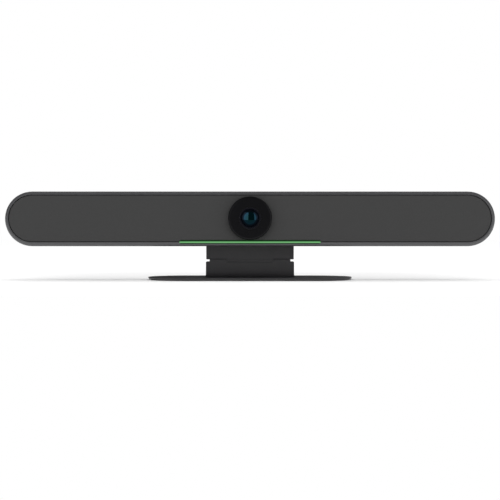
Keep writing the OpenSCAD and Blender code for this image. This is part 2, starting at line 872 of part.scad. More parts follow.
// A speaker's paper cone with its dust cap
module speaker_cone(side) {
    front = speaker_back + speaker_flange_t / 2;
    cap_middle = front - cone_depth + cone_t + cap_height - cap_curve_r;
    color([0.1, 0.1, 0.1]) on_bar() turned(x = side * speaker_x) {
        polygon([
            [cone_r, front],
            [cone_r, front + cone_t],
            [cone_r - cone_t, front + cone_t],
            [cone_neck_r - cone_t, front - cone_depth + cone_t],
            [cone_neck_r - cone_t, front - cone_depth - cone_t],
            [cone_neck_r, front - cone_depth - cone_t],
            [cone_neck_r, front - cone_depth],
        ]);
        intersection() {
            translate([0, front - cone_depth + cone_t]) square([cone_neck_r, cap_height + cut]);
            difference() {
                translate([0, cap_middle]) circle(cap_curve_r);
                translate([0, cap_middle]) circle(cap_curve_r - cone_t);
            }
        }
    }
}

// The rolled rubber edge between a cone and its basket
module speaker_surround(side) {
    front = speaker_back + speaker_flange_t / 2;
    color([0.05, 0.05, 0.05]) on_bar() turned(x = side * speaker_x) intersection() {
        translate([surround_r - surround_w, front]) square([2 * surround_w, surround_w]);
        difference() {
            translate([surround_r, front]) circle(surround_w / 2);
            translate([surround_r, front]) circle(surround_w / 2 - surround_t);
        }
    }
}

// A speaker's magnet between its two plates, with the slot for the voice coil
module speaker_magnet(side) {
    front = basket_back - seat;
    color([0.35, 0.35, 0.37]) on_bar() turned(x = side * speaker_x) difference() {
        translate([0, front - magnet_l]) square([magnet_r, magnet_l]);
        translate([magnet_r - magnet_step, front - magnet_l + magnet_plate_t])
            square([2 * magnet_step, magnet_l - 2 * magnet_plate_t]);
        translate([voice_coil_r - motor_gap, front - magnet_l / 2]) square([coil_slot_w, magnet_l]);
    }
}

// One strip of microphones behind the top of the baffle
module microphone_board(side) {
    color([0.05, 0.3, 0.15]) on_bar() difference() {
        slab(mic_back, mic_back + mic_board_t) translate([side * mic_board_x, mic_z])
            square([mic_board_w, mic_board_h], center = true);
        for (i = [0:mic_count - 1])
            rod(side * (mic_first + i * mic_pitch), mic_z, mic_hole_r, mic_back - cut,
                mic_back + mic_board_t + cut);
    }
}

// The microphone capsules on both strips
module microphones() {
    color([0.75, 0.7, 0.5]) on_bar()
        for (side = [-1, 1], i = [0:mic_count - 1])
            slab(mic_back - mic_t, mic_back) translate([side * (mic_first + i * mic_pitch), mic_z])
                square(mic_size, center = true);
}

// The main circuit board, upright in front of the sockets
module main_board() {
    color([0.05, 0.3, 0.15]) on_bar() difference() {
        slab(board_back, board_front) translate([0, board_rise]) round_rect(board_w, board_h, board_post_r);
        for (x = [-1, 1], z = [-1, 1])
            rod(x * board_post_x, board_rise + z * board_post_z, board_screw_r + slip, board_back - cut,
                board_front + cut);
    }
}

// The four screws of the main board, with their heads in front
module main_board_screws() {
    color([0.6, 0.6, 0.62]) on_bar()
        for (x = [-1, 1], z = [-1, 1]) {
            rod(x * board_post_x, board_rise + z * board_post_z, board_screw_r,
                board_back - board_screw_l + seat, board_front + seat);
            rod(x * board_post_x, board_rise + z * board_post_z, board_screw_head_r, board_front,
                board_front + board_screw_head_t);
        }
}

// The processor package under the heat sink
module processor() {
    color([0.1, 0.1, 0.1]) on_bar() slab(board_front, board_front + chip_t)
        translate([0, board_rise]) square(chip_side, center = true);
}

// The finned heat sink
module heat_sink() {
    back = board_front + chip_t;
    pitch = (sink_w - sink_fin_t) / (sink_fins - 1);
    color([0.7, 0.7, 0.72]) on_bar() {
        slab(back, back + sink_base_t) translate([0, board_rise]) square([sink_w, sink_h], center = true);
        for (i = [0:sink_fins - 1])
            slab(back + sink_base_t / 2, back + sink_base_t + sink_fin_h)
                translate([(i - (sink_fins - 1) / 2) * pitch, board_rise])
                    square([sink_fin_t, sink_h], center = true);
    }
}

// The round power socket with its centre pin
module power_socket() {
    x = recess_w * jack_share;
    color([0.08, 0.08, 0.08]) on_bar() {
        difference() {
            union() {
                slab(recess_inside + seat, board_back) translate([x, 0]) square(jack_side, center = true);
                rod(x, 0, jack_collar_r, recess_floor, recess_inside + 2 * seat);
            }
            rod(x, 0, jack_bore_r, recess_floor - cut, board_back - socket_back_t);
        }
        rod(x, 0, jack_pin_r, recess_floor + 2 * jack_pin_r, board_back - socket_back_t / 2);
    }
}

// The small reversible data socket
module data_socket() {
    x = recess_w * data_share;
    color([0.6, 0.6, 0.62]) on_bar() {
        slab(recess_floor, board_back) translate([x, 0]) difference() {
            stadium(data_w, data_h);
            stadium(data_w - socket_wall, data_h - socket_wall);
        }
        slab(board_back - socket_back_t, board_back) translate([x, 0]) stadium(data_w, data_h);
        slab(recess_floor + socket_wall, board_back - socket_back_t / 2)
            translate([x, 0]) square([data_w - data_h, tongue_t * socket_wall], center = true);
    }
}

// The flat video socket
module video_socket() {
    x = recess_w * video_share;
    color([0.6, 0.6, 0.62]) on_bar() {
        slab(recess_floor, board_back) translate([x, 0]) difference() {
            square([video_w, video_h], center = true);
            video_mouth();
        }
        slab(board_back - socket_back_t, board_back) translate([x, 0])
            square([video_w, video_h], center = true);
        slab(recess_floor + socket_wall, board_back - socket_back_t / 2)
            translate([x, video_tongue_rise]) square([video_tongue_w, tongue_t], center = true);
    }
}

// The video socket's mouth, with its two lower corners cut off
module video_mouth() {
    w = video_w / 2 - socket_wall;
    h = video_h / 2 - socket_wall;
    polygon([[-w, h], [w, h], [w, 0], [w - h, -h], [h - w, -h], [-w, 0]]);
}

// The network socket, with the keyway for the plug's latch above its mouth
module network_socket() {
    x = recess_w * network_share;
    color([0.6, 0.6, 0.62]) on_bar() difference() {
        slab(recess_floor, board_back) translate([x, 0]) square([network_w, network_h], center = true);
        slab(recess_floor - cut, board_back - socket_back_t) translate([x, 0]) {
            square([network_mouth_w, network_mouth_h], center = true);
            translate([0, network_mouth_h / 2 + network_key_h / 2])
                square([network_key_w, network_key_h + network_key_h / 2], center = true);
        }
    }
}

// The round audio socket
module audio_socket() {
    x = recess_w * audio_share;
    color([0.08, 0.08, 0.08]) on_bar() difference() {
        union() {
            slab(recess_inside + seat, board_back) translate([x, 0]) square(audio_side, center = true);
            rod(x, 0, audio_collar_r, recess_floor, recess_inside + 2 * seat);
        }
        rod(x, 0, audio_bore_r, recess_floor - cut, board_back - socket_back_t);
    }
}

// The switch on the main board that the button presses
module power_switch() {
    x = recess_w * button_share;
    color([0.1, 0.1, 0.1]) on_bar() {
        slab(board_back - switch_t, board_back) translate([x, 0]) square(switch_side, center = true);
        rod(x, 0, switch_plunger_r, board_back - switch_t - button_travel, board_back - switch_t / 2);
    }
}

// The round push button, with the flange that keeps it in the housing
module power_button() {
    x = recess_w * button_share;
    color([0.12, 0.12, 0.125]) on_bar() {
        rod(x, 0, button_r, recess_floor - button_proud, board_back - switch_t - 2 * button_travel - seat);
        rod(x, 0, button_flange_r, recess_inside + seat, recess_inside + seat + button_flange_t);
    }
}

// The six screws that close the housing, deep in their wells
module housing_screws() {
    color([0.3, 0.3, 0.32]) on_bar()
        for (p = tower_places) difference() {
            small_screw(p[0], p[1], screw_r, screw_head_r, screw_head_t, screw_head_back,
                tower_front + screw_bite);
            rod(p[0], p[1], screw_r / 2, screw_head_back - screw_head_t - cut,
                screw_head_back - screw_head_t / 2);
        }
}

// The two threaded brass inserts for a wall bracket
module wall_mount_inserts() {
    color([0.75, 0.6, 0.3]) on_bar()
        for (side = [-1, 1]) turned(x = side * wall_mount_pitch / 2)
            translate([insert_bore_r, bar_back]) square([insert_r - insert_bore_r, insert_l]);
}

// The brass inserts for the stand's screws
module stand_inserts() {
    color([0.75, 0.6, 0.3]) on_bar()
        for (p = stand_screw_places) translate([p[0], p[1], -bar_r + wall]) difference() {
            cylinder(r = insert_r, h = insert_l);
            translate([0, 0, -cut]) cylinder(r = insert_bore_r, h = insert_l + 2 * cut);
        }
}

// A round bar along X, between two places
module cross_rod(r, from, to) {
    translate([from, leg_back, hinge_z]) rotate([0, 90, 0]) cylinder(r = r, h = to - from);
}

// A piece at the right end of the hinge and its mirror image at the left
module both_ends() {
    for (side = [0, 1]) mirror([side, 0, 0]) children();
}

// An outline in X and Z, extruded through the leg's thickness and its roundings
module through_leg(half) {
    translate([0, leg_back, 0]) slab(-half, half) children();
}

// The part of the stand that is screwed under the bar and carries the middle knuckle
module upper_bracket() {
    height = bracket_top_z - seat - bracket_bottom_z;
    color([0.19, 0.19, 0.2]) difference() {
        union() {
            translate([0, leg_back, bracket_top_z - bracket_t - seat]) linear_extrude(bracket_t) {
                translate([0, bracket_reach / 2]) round_rect(bracket_w, bracket_reach, bracket_edge_r);
                translate([-bracket_w / 2, 0]) square([bracket_w, bracket_reach / 2]);
            }
            through_leg(leg_t / 2) {
                translate([-bracket_w / 2, bracket_bottom_z + bracket_corner])
                    square([bracket_w, height - bracket_corner]);
                translate([-bracket_w / 2 + bracket_corner, bracket_bottom_z])
                    square([bracket_w - 2 * bracket_corner, height]);
                for (side = [-1, 1])
                    translate([side * (bracket_w / 2 - bracket_corner),
                        bracket_bottom_z + bracket_corner]) circle(bracket_corner);
            }
            cross_rod(barrel_hinge_r, -knuckle_half, knuckle_half);
        }
        both_ends() cross_rod(barrel_hinge_r + hinge_relief, knuckle_half, barrel_end + hinge_relief);
        cross_rod(bush_r + running, -knuckle_half - cut, knuckle_half + cut);
        for (p = stand_screw_places) translate([p[0], p[1], bracket_top_z - bracket_t - cut])
            cylinder(r = stand_screw_hole_r, h = bracket_t + 2 * cut);
    }
}

// The screws that hold the bracket under the bar
module bracket_screws() {
    color([0.5, 0.5, 0.52])
        for (p = stand_screw_places)
            translate([p[0], p[1], bracket_top_z - bracket_t - 2 * seat - stand_screw_head_t])
            difference() {
            union() {
                cylinder(r = stand_screw_head_r, h = stand_screw_head_t);
                translate([0, 0, stand_screw_head_t]) cylinder(r = stand_screw_r, h = stand_screw_l);
            }
            translate([0, 0, -cut]) cylinder(r = stand_screw_r, h = stand_screw_head_t / 2 + cut, $fn = 6);
        }
}

// The two flanged bushes that turn on the pin
module hinge_bushes() {
    length = knuckle_half - cap_well;
    color([0.1, 0.1, 0.1])
        both_ends() difference() {
            union() {
                cross_rod(bush_r, knuckle_half - length, knuckle_half + washer_t);
                cross_rod(washer_r, knuckle_half + seat, knuckle_half + seat + washer_t);
            }
            cross_rod(bush_bore_r, knuckle_half - length - cut, knuckle_half + washer_t + 2 * cut);
        }
}

// The side view of the leg: upright faces that sweep out into the foot
module leg_side_profile() {
    difference() {
        translate([-leg_t / 2 - foot_fillet, foot_top_z - foot_t / 2])
            square([leg_t + 2 * foot_fillet, leg_top_z - foot_top_z + foot_t / 2]);
        for (side = [-1, 1]) {
            translate([side * (leg_t / 2 + foot_fillet), foot_top_z + toe + foot_fillet])
                circle(foot_fillet);
            translate([side * (leg_t / 2 + foot_fillet) - foot_fillet, foot_top_z + toe + foot_fillet])
                square([2 * foot_fillet, leg_top_z - foot_top_z]);
        }
    }
}

// The front view of the leg: round upper corners and a small sweep at the foot
module leg_front_outline() {
    half = stand_w / 2;
    difference() {
        translate([-half - side_fillet, foot_top_z - foot_t / 2])
            square([2 * half + 2 * side_fillet, leg_top_z - foot_top_z + foot_t / 2]);
        for (side = [-1, 1]) {
            translate([side * (half + side_fillet), foot_top_z + toe + side_fillet]) circle(side_fillet);
            translate([side * (half + side_fillet) - side_fillet, foot_top_z + toe + side_fillet])
                square([2 * side_fillet, leg_top_z - foot_top_z]);
            translate([side * (half - leg_corner / 2), leg_top_z - leg_corner / 2]) difference() {
                square(leg_corner + toe, center = true);
                translate([-side * leg_corner / 2, -leg_corner / 2]) circle(leg_corner);
            }
        }
    }
}

// The foot plate, a stadium whose edge is rounded a little above and widely below
module foot_plate() {
    half = foot_depth / 2;
    for (turn = [0, 180]) rotate([0, 0, turn]) {
        translate([(foot_w - foot_depth) / 2, 0, 0]) rotate_extrude(angle = 180, start = -90)
            rounded_profile(half, pad_t, foot_top_z, foot_under, foot_edge);
        translate([-(foot_w - foot_depth) / 2, 0, 0]) rotate([90, 0, 90])
            linear_extrude(foot_w - foot_depth)
            rounded_profile(half, pad_t, foot_top_z, foot_under, foot_edge);
    }
}

// The leg and foot in one casting, with the two outer knuckles of the hinge
module lower_bracket() {
    color([0.19, 0.19, 0.2]) difference() {
        union() {
            foot_plate();
            intersection() {
                translate([-stand_w, leg_back, 0]) rotate([90, 0, 90]) linear_extrude(2 * stand_w)
                    leg_side_profile();
                through_leg(leg_t / 2 + foot_fillet + cut) leg_front_outline();
            }
            both_ends() cross_rod(barrel_hinge_r, knuckle_half + knuckle_space, barrel_end);
        }
        cross_rod(barrel_hinge_r + hinge_relief, -knuckle_half - knuckle_space,
            knuckle_half + knuckle_space);
        cross_rod(pin_r + running, -barrel_end - cut, barrel_end + cut);
        both_ends() cross_rod(cap_hollow_r, barrel_end - cap_well, barrel_end + cut);
    }
}

// The steel pin through all three knuckles, with its head at the left
module hinge_pin() {
    inner = barrel_end - cap_well;
    color([0.6, 0.6, 0.62]) {
        cross_rod(pin_r, -inner - seat, inner + pin_nose + nut_t + spring_stack);
        cross_rod(pin_head_r, -inner - seat - pin_head_t, -inner - seat);
    }
}

// The conical spring washers that set the hinge's friction
module hinge_springs() {
    color([0.5, 0.5, 0.52])
        for (i = [0:spring_count - 1])
            translate([barrel_end - cap_well + seat + i * spring_rise, leg_back, hinge_z])
                rotate([0, 90, 0]) rotate_extrude()
                translate([pin_r + running, 0]) square([pin_head_r - pin_r - running, spring_t]);
}

// The lock nut on the pin's right end
module hinge_nut() {
    from = barrel_end - cap_well + spring_stack;
    color([0.6, 0.6, 0.62]) difference() {
        translate([from, leg_back, hinge_z]) rotate([0, 90, 0]) cylinder(r = nut_r, h = nut_t, $fn = 6);
        cross_rod(pin_r + running, from - cut, from + nut_t + cut);
    }
}

// The two caps that close the hinge barrel
module hinge_caps() {
    color([0.15, 0.15, 0.155])
        both_ends() cross_rod(cap_hollow_r - running, barrel_end - cap_t, barrel_end);
}

// The rubber pad that the foot stands on
module foot_pad() {
    color([0.06, 0.06, 0.06]) linear_extrude(pad_t)
        stadium(foot_w - 2 * pad_inset, foot_depth - 2 * pad_inset);
}

rear_housing();
front_frame();
grille_carrier();
grille_cloth();
status_light();
status_light_board();
status_leds();
lens_shroud();
lens_barrel();
lens_retaining_ring();
front_lens();
middle_lens();
iris_plate();
rear_lens();
camera_mount();
camera_mount_screws();
infrared_filter();
image_sensor();
sensor_board();
sensor_board_screws();
speaker_basket(-1);  // left_speaker_basket
speaker_basket(1);  // right_speaker_basket
speaker_cone(-1);  // left_speaker_cone
speaker_cone(1);  // right_speaker_cone
speaker_surround(-1);  // left_speaker_surround
speaker_surround(1);  // right_speaker_surround
speaker_magnet(-1);  // left_speaker_magnet
speaker_magnet(1);  // right_speaker_magnet
microphone_board(-1);  // left_microphone_board
microphone_board(1);  // right_microphone_board
microphones();
main_board();
main_board_screws();
processor();
heat_sink();
power_socket();
data_socket();
video_socket();
network_socket();
audio_socket();
power_switch();
power_button();
housing_screws();
wall_mount_inserts();
stand_inserts();
upper_bracket();
bracket_screws();
hinge_bushes();
lower_bracket();
hinge_pin();
hinge_springs();
hinge_nut();
hinge_caps();
foot_pad();
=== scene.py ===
"""A conference camera on its table stand: its finishes, the cloth over its grille, the camera and a pale studio."""
import json
import math

import bmesh
import bpy
import numpy as np
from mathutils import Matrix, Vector


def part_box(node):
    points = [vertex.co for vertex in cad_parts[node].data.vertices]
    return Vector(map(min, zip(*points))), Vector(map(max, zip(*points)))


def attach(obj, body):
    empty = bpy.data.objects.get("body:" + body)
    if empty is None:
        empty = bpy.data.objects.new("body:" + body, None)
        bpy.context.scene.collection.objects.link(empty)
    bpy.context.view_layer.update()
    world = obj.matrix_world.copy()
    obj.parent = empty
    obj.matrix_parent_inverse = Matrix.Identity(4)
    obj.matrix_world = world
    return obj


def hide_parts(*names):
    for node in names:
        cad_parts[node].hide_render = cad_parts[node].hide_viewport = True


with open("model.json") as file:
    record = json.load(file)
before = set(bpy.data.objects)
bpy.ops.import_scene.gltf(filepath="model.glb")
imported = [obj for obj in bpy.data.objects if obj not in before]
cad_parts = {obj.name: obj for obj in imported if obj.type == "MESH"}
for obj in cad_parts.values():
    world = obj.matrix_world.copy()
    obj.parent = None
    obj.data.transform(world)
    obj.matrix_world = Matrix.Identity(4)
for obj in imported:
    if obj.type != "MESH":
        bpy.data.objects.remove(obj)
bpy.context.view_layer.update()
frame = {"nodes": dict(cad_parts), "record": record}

MM = 0.001


def linear(code):
    """An sRGB hex colour as linear red, green, blue and 1."""
    parts = [int(code[i:i + 2], 16) / 255 for i in (0, 2, 4)]
    return tuple(c / 12.92 if c <= 0.04045 else ((c + 0.055) / 1.055) ** 2.4 for c in parts) + (1.0,)


def join(tree, node, **inputs):
    """Sets a node's inputs, and links those given as sockets. An input is named, or i and its number."""
    for name, value in inputs.items():
        key = int(name[1:]) if name[0] == "i" and name[1:].isdigit() else name.replace("_", " ")
        if isinstance(value, bpy.types.NodeSocket):
            tree.links.new(value, node.inputs[key])
        else:
            node.inputs[key].default_value = value


def add(tree, kind, settings=None, **inputs):
    """Adds a node, sets its properties, and joins its inputs."""
    node = tree.nodes.new(kind)
    for name, value in (settings or {}).items():
        setattr(node, name, value)
    join(tree, node, **inputs)
    return node


def finish(name, **sockets):
    """A material with one Principled shader, whose constant sockets are set here.

    Returns the material, its tree, its shader and the place in the piece's own frame.
    """
    material = bpy.data.materials.new(name)
    material.use_nodes = True
    tree = material.node_tree
    shader = tree.nodes["Principled BSDF"]
    join(tree, shader, **sockets)
    return material, tree, shader, add(tree, "ShaderNodeTexCoord").outputs["Object"]


# Each of the next functions, from noise to relief, adds to a tree and returns one output socket

def noise(tree, here, size_mm, detail, roughness=0.5):
    """Noise whose coarsest features are about the given size."""
    return add(tree, "ShaderNodeTexNoise", Vector=here, Scale=1 / (size_mm * MM), Detail=detail,
               Roughness=roughness).outputs["Fac"]


def blend(tree, share, low, high):
    """A colour between two, low where the share is 0. Each is a hex colour or a socket."""
    ends = [linear(end) if isinstance(end, str) else end for end in (low, high)]
    # A Mix node in colour mode has its two colours at inputs 6 and 7 and its result at output 2
    return add(tree, "ShaderNodeMix", {"data_type": "RGBA"}, i0=share, i6=ends[0], i7=ends[1]).outputs[2]


def ramp(tree, value, settings=None, **ends):
    """A value taken from one range to another. A range that isn't given is 0 to 1."""
    return add(tree, "ShaderNodeMapRange", settings, Value=value, **ends).outputs["Result"]


def layered(tree, value, share, base):
    """A share of one value on top of another."""
    return add(tree, "ShaderNodeMath", {"operation": "MULTIPLY_ADD"}, i0=value, i1=share, i2=base).outputs["Value"]


def distance(tree, here, centre, axes):
    """The distance from a centre, along the axes that are 1."""
    flat = add(tree, "ShaderNodeMapping", Vector=here, Location=[-c for c in centre], Scale=axes)
    return add(tree, "ShaderNodeVectorMath", {"operation": "LENGTH"}, i0=flat.outputs["Vector"]).outputs["Value"]


def relief(tree, height, strength, depth_mm):
    """The surface's direction, tilted by fine relief of the given depth."""
    return add(tree, "ShaderNodeBump", Strength=strength, Distance=depth_mm * MM, Height=height).outputs["Normal"]


def moulded(name, low, high, grain_mm, roughness, depth_mm, level=0.5):
    """Injection moulded plastic with a spark-eroded grain: an even soft sheen, with a fine sparkle in close light.

    The colour drifts between two near tones over hands' widths, as a batch of pigment does.
    """
    drift_mm, spread = 45, 0.06
    material, tree, shader, here = finish(name, IOR=1.5, Specular_IOR_Level=level)
    grain = noise(tree, here, grain_mm, 3.0, 0.6)
    join(tree, shader,
         Base_Color=blend(tree, noise(tree, here, drift_mm, 2.0), low, high),
         Roughness=ramp(tree, grain, To_Min=roughness - spread, To_Max=roughness + spread),
         Normal=relief(tree, grain, 0.5, depth_mm))
    return material


def powder_coat(name, low, high):
    """Satin powder coat on an aluminium casting: a faint orange peel that breaks up reflections, and fine specks."""
    peel_mm, speck_mm, drift_mm = 0.9, 1.4, 30
    material, tree, shader, here = finish(name, IOR=1.5, Specular_IOR_Level=0.65)
    peel = noise(tree, here, peel_mm, 2.0, 0.45)
    speck = add(tree, "ShaderNodeTexVoronoi", Vector=here, Scale=1 / (speck_mm * MM), Randomness=1.0)
    tone = layered(tree, speck.outputs["Distance"], 0.3, noise(tree, here, drift_mm, 2.0))
    join(tree, shader,
         Base_Color=blend(tree, tone, low, high),
         Roughness=ramp(tree, peel, To_Min=0.4, To_Max=0.5),
         Normal=relief(tree, peel, 0.4, 0.02))
    return material


def acoustic_knit(name, low, high):
    """Warp-knitted polyester, dull and even, with threads coarser than the real 0.4 mm so that they show."""
    thread_mm, fuzz_mm = 0.9, 2.5
    material, tree, shader, here = finish(name, IOR=1.45, Specular_IOR_Level=0.15, Roughness=0.95,
                                          Sheen_Weight=0.1, Sheen_Roughness=0.5)
    # The wave node turns through 20 radians in one unit, so at this scale one turn is one thread
    pace = math.pi / (10 * thread_mm * MM)
    warp, weft = (add(tree, "ShaderNodeTexWave", {"bands_direction": way}, Vector=here, Scale=pace, Distortion=0.4,
                      Detail=1.0, Detail_Scale=2.0).outputs["Fac"] for way in "XZ")
    knit = add(tree, "ShaderNodeMath", {"operation": "MULTIPLY"}, i0=warp, i1=weft).outputs["Value"]
    tone = layered(tree, noise(tree, here, fuzz_mm, 4.0, 0.7), 0.5, knit)
    join(tree, shader, Base_Color=blend(tree, tone, low, high), Normal=relief(tree, knit, 0.35, 0.1))
    return material


def coated_glass(name, axis_z):
    """Crown glass with a many-layered coating: nearly black inside, with mirror images in teal.

    Round the lens's axis the images turn from teal to blue, then to navy, and to purple at the edge.
    """
    blue_mm, navy_mm, purple_mm = (2, 7), (7.0, 8.2), (9.7, 10.3)
    material, tree, shader, here = finish(name, IOR=1.6, Roughness=0.03)
    radius = distance(tree, here, (0, 0, axis_z), (1, 0, 1))
    out, rim, edge = (ramp(tree, radius, From_Min=start * MM, From_Max=end * MM)
                      for start, end in (blue_mm, navy_mm, purple_mm))
    image = blend(tree, out, "3f7276", "417392")
    image = blend(tree, rim, image, "0a1c34")
    image = blend(tree, edge, image, "3a2c50")
    join(tree, shader, Specular_Tint=image, Base_Color=blend(tree, rim, "000a0c", "05080c"))
    return material


def turned_metal(name, code, roughness):
    """Bare machined or plated metal: bright, with fine tool marks that smear its highlights."""
    mark_mm, stretch = 0.3, 6.0
    material, tree, shader, here = finish(name, Metallic=1.0, Base_Color=linear(code))
    along = add(tree, "ShaderNodeMapping", Vector=here, Scale=(1.0, stretch, stretch)).outputs["Vector"]
    marks = noise(tree, along, stretch * mark_mm, 3.0)
    join(tree, shader,
         Roughness=ramp(tree, marks, To_Min=roughness - 0.08, To_Max=roughness + 0.1),
         Normal=relief(tree, marks, 0.2, 0.01))
    return material


def lit_guide(name, middle_z, half_h):
    """Frosted acrylic lit from behind. Its glow is brightest along its middle and dim green where it meets its slot,
    and its base colour follows the glow: painted light along the middle, painted shade at the edges.
    """
    frost_mm, bright, dark = 3, 0.1 * half_h, 0.65 * half_h
    material, tree, shader, here = finish(name, IOR=1.49, Roughness=0.4, Specular_IOR_Level=0.2,
                                          Emission_Strength=1.0)
    away = distance(tree, here, (0, 0, middle_z), (0, 0, 1))
    fade = ramp(tree, away, {"interpolation_type": "SMOOTHSTEP"}, From_Min=bright, From_Max=dark)
    shine = blend(tree, noise(tree, here, frost_mm, 2.0), "6fb573", "7bbd7e")
    # Painted light and shade: the base colour is lighter green along the middle and darker where the guide meets its
    # slot
    join(tree, shader,
         Emission_Color=blend(tree, fade, shine, "022a06"),
         Base_Color=blend(tree, fade, "0c300f", "041606"))
    return material


# Places that the finishes follow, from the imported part
lens_low, lens_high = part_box("front_lens")
LENS_Z = (lens_low[2] + lens_high[2]) / 2
LIGHT_H = 4.0 * MM       # the height and width of the light guide
LIGHT_W = 172.5 * MM
LIGHT_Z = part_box("status_light")[0][2] + LIGHT_H / 2
GLOW_DROP = 0.3 * MM     # the glow's brightest line lies this far below the guide's middle

# Back shell: ABS from a spark-eroded mould, an even soft sheen with no mirror image
HOUSING = moulded("textured_dark_abs", "353537", "39393b", 0.45, 0.55, 0.02, 0.35)
# Front rim: the same ABS from a finer mould, smooth enough to draw a light line along each edge
RIM = moulded("satin_dark_abs", "3b3b3d", "3f3f41", 0.3, 0.38, 0.008, 0.8)
# Shroud, camera mount, hinge caps and button: polished polycarbonate, coloured through, nearly black without glare
BLACK = moulded("smooth_black_polycarbonate", "09090b", "0c0c0e", 0.25, 0.3, 0.004, 0.14)
# Carrier, baskets, chips, socket bodies and switch: plain unpainted plastic, dull and dark
DARK = moulded("plain_black_abs", "101012", "151517", 0.4, 0.55, 0.01)
# Grille: dull knitted cloth, the lightest of the dark fronts because it has no gloss to lose
KNIT = acoustic_knit("dark_knitted_polyester", "323232", "3e3e3e")
# Stand: powder-coated castings, a shade darker and warmer than the bar
STAND = powder_coat("satin_powder_coated_casting", "1e1d20", "242325")
# Lenses and infrared filter: coated glass, black until it mirrors something, and then teal
GLASS = coated_glass("coated_lens_glass", LENS_Z)
# Lens barrel, ring and iris: black anodising, with a trace of violet
ANODISED = moulded("black_anodised_aluminium", "09090f", "0c0c13", 0.2, 0.3, 0.003, 0.12)
# Pin, springs, nut and inner screws: turned and zinc plated, bright
STEEL = turned_metal("bright_steel", "b8b8ba", 0.35)
# Socket shells and microphone cans: stamped and nickel plated, the brightest things on the back
PLATED = turned_metal("plated_sheet_steel", "c4c4c6", 0.3)
# Housing and bracket screws: oxide black, with metallic glints in their wells
BLACK_STEEL = turned_metal("blackened_steel", "3a3a3c", 0.45)
# Threaded inserts: turned brass, of which two small yellow rings show on the back
BRASS = turned_metal("turned_brass", "d8b866", 0.32)
# Heat sink: extruded and left bare, pale
ALUMINIUM = turned_metal("extruded_aluminium", "d0d0d2", 0.4)
# Foot pad and speaker surrounds: moulded rubber with hardly any gloss
RUBBER = moulded("matt_black_rubber", "1c1c1e", "222224", 0.5, 0.85, 0.03, 0.3)
# Circuit boards: lacquer over copper, deep green with a low shine
BOARD = moulded("green_solder_mask", "0e3a20", "124626", 1.2, 0.35, 0.004)
# Hinge bushes: acetal with graphite, dark and waxy
BUSH = moulded("graphite_filled_acetal", "18181a", "1e1e20", 0.4, 0.5, 0.005)
# Emitters: cream ceramic packages
PALE = moulded("pale_led_package", "e0dcc0", "e8e4cc", 0.3, 0.4, 0.005)
# Speaker cones: pressed fibre, rough and nearly black
PAPER = moulded("pressed_paper_cone", "1a1a1a", "242422", 0.5, 0.9, 0.05)
# Magnets: ground ferrite between steel plates, mid grey
FERRITE = turned_metal("ferrite_and_steel", "707074", 0.5)
# Light guide: frosted acrylic, lit green, with painted shade along its edges
LIGHT = lit_guide("frosted_green_light_guide", LIGHT_Z - GLOW_DROP, LIGHT_H / 2)

FINISHES = {
    "housing_plastic": HOUSING, "frame_plastic": RIM, "carrier_plastic": DARK, "grille_cloth": KNIT,
    "green_light": LIGHT, "circuit_board": BOARD, "led_package": PALE, "black_plastic": BLACK,
    "black_metal": ANODISED, "lens_glass": GLASS, "steel": STEEL, "black_steel": BLACK_STEEL,
    "chip_plastic": DARK, "aluminium": ALUMINIUM, "socket_steel": PLATED, "socket_plastic": DARK,
    "button_plastic": BLACK, "brass": BRASS, "stand_metal": STAND, "bush_plastic": BUSH,
    "basket_plastic": DARK, "paper_cone": PAPER, "magnet_steel": FERRITE, "rubber": RUBBER,
}
for row in frame["record"]["subparts"]:
    mesh = frame["nodes"][row["node"]].data
    mesh.materials.clear()
    mesh.materials.append(FINISHES[row["material_slot"]])


CLOTH_T = 0.8 * MM           # the cloth's thickness
CLOTH_ROUND = 0.75 * MM      # the radius at which it turns round the carrier's edge
LIGHT_GAP = 0.15 * MM        # between the cloth and the light guide
NECK_GAP = 0.05 * MM         # between the cloth and the shroud's neck
NOTCH_STEP = 0.02 * MM       # the width in which the lower edge rises to the notch
MERGE = 0.002 * MM           # points nearer than this are one


def surface(name, points, faces, material):
    """A smooth mesh object at the origin from an array of points and one of faces, with its doubles merged."""
    mesh = bpy.data.meshes.new(name)
    mesh.from_pydata(points.tolist(), [], faces.tolist())
    shape = bmesh.new()
    shape.from_mesh(mesh)
    bmesh.ops.remove_doubles(shape, verts=shape.verts, dist=MERGE)
    bmesh.ops.dissolve_degenerate(shape, edges=shape.edges, dist=MERGE)
    bmesh.ops.recalc_face_normals(shape, faces=shape.faces)
    shape.to_mesh(mesh)
    shape.free()
    mesh.polygons.foreach_set("use_smooth", np.full(len(mesh.polygons), True))
    mesh.materials.append(material)
    piece = bpy.data.objects.new(name, mesh)
    bpy.context.scene.collection.objects.link(piece)
    return piece


def strip_faces(columns, rows):
    """The quads of a grid whose columns close into a ring, from vertex numbers that run down each column."""
    column, row = np.meshgrid(np.arange(columns), np.arange(rows - 1), indexing="ij")
    beside = (column + 1) % columns
    return np.stack([column * rows + row, beside * rows + row, beside * rows + row + 1, column * rows + row + 1],
                    axis=-1).reshape(-1, 4)


def neck_hole_radius():
    """The radius of the hole for the shroud's neck, from the shroud's own vertices behind the cloth."""
    shroud = frame["nodes"]["lens_shroud"].data
    place = np.empty(len(shroud.vertices) * 3)
    shroud.vertices.foreach_get("co", place)
    place = place.reshape(-1, 3)
    behind = place[:, 1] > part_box("grille_cloth")[1][1]
    return np.hypot(place[behind, 0], place[behind, 2] - LENS_Z).max() + NECK_GAP


def run_round(*runs):
    """An array of x and z pairs round the cloth, from each run's x and z, where one of the two can be a number."""
    return np.concatenate([np.stack(np.broadcast_arrays(across, up), axis=-1) for across, up in runs])


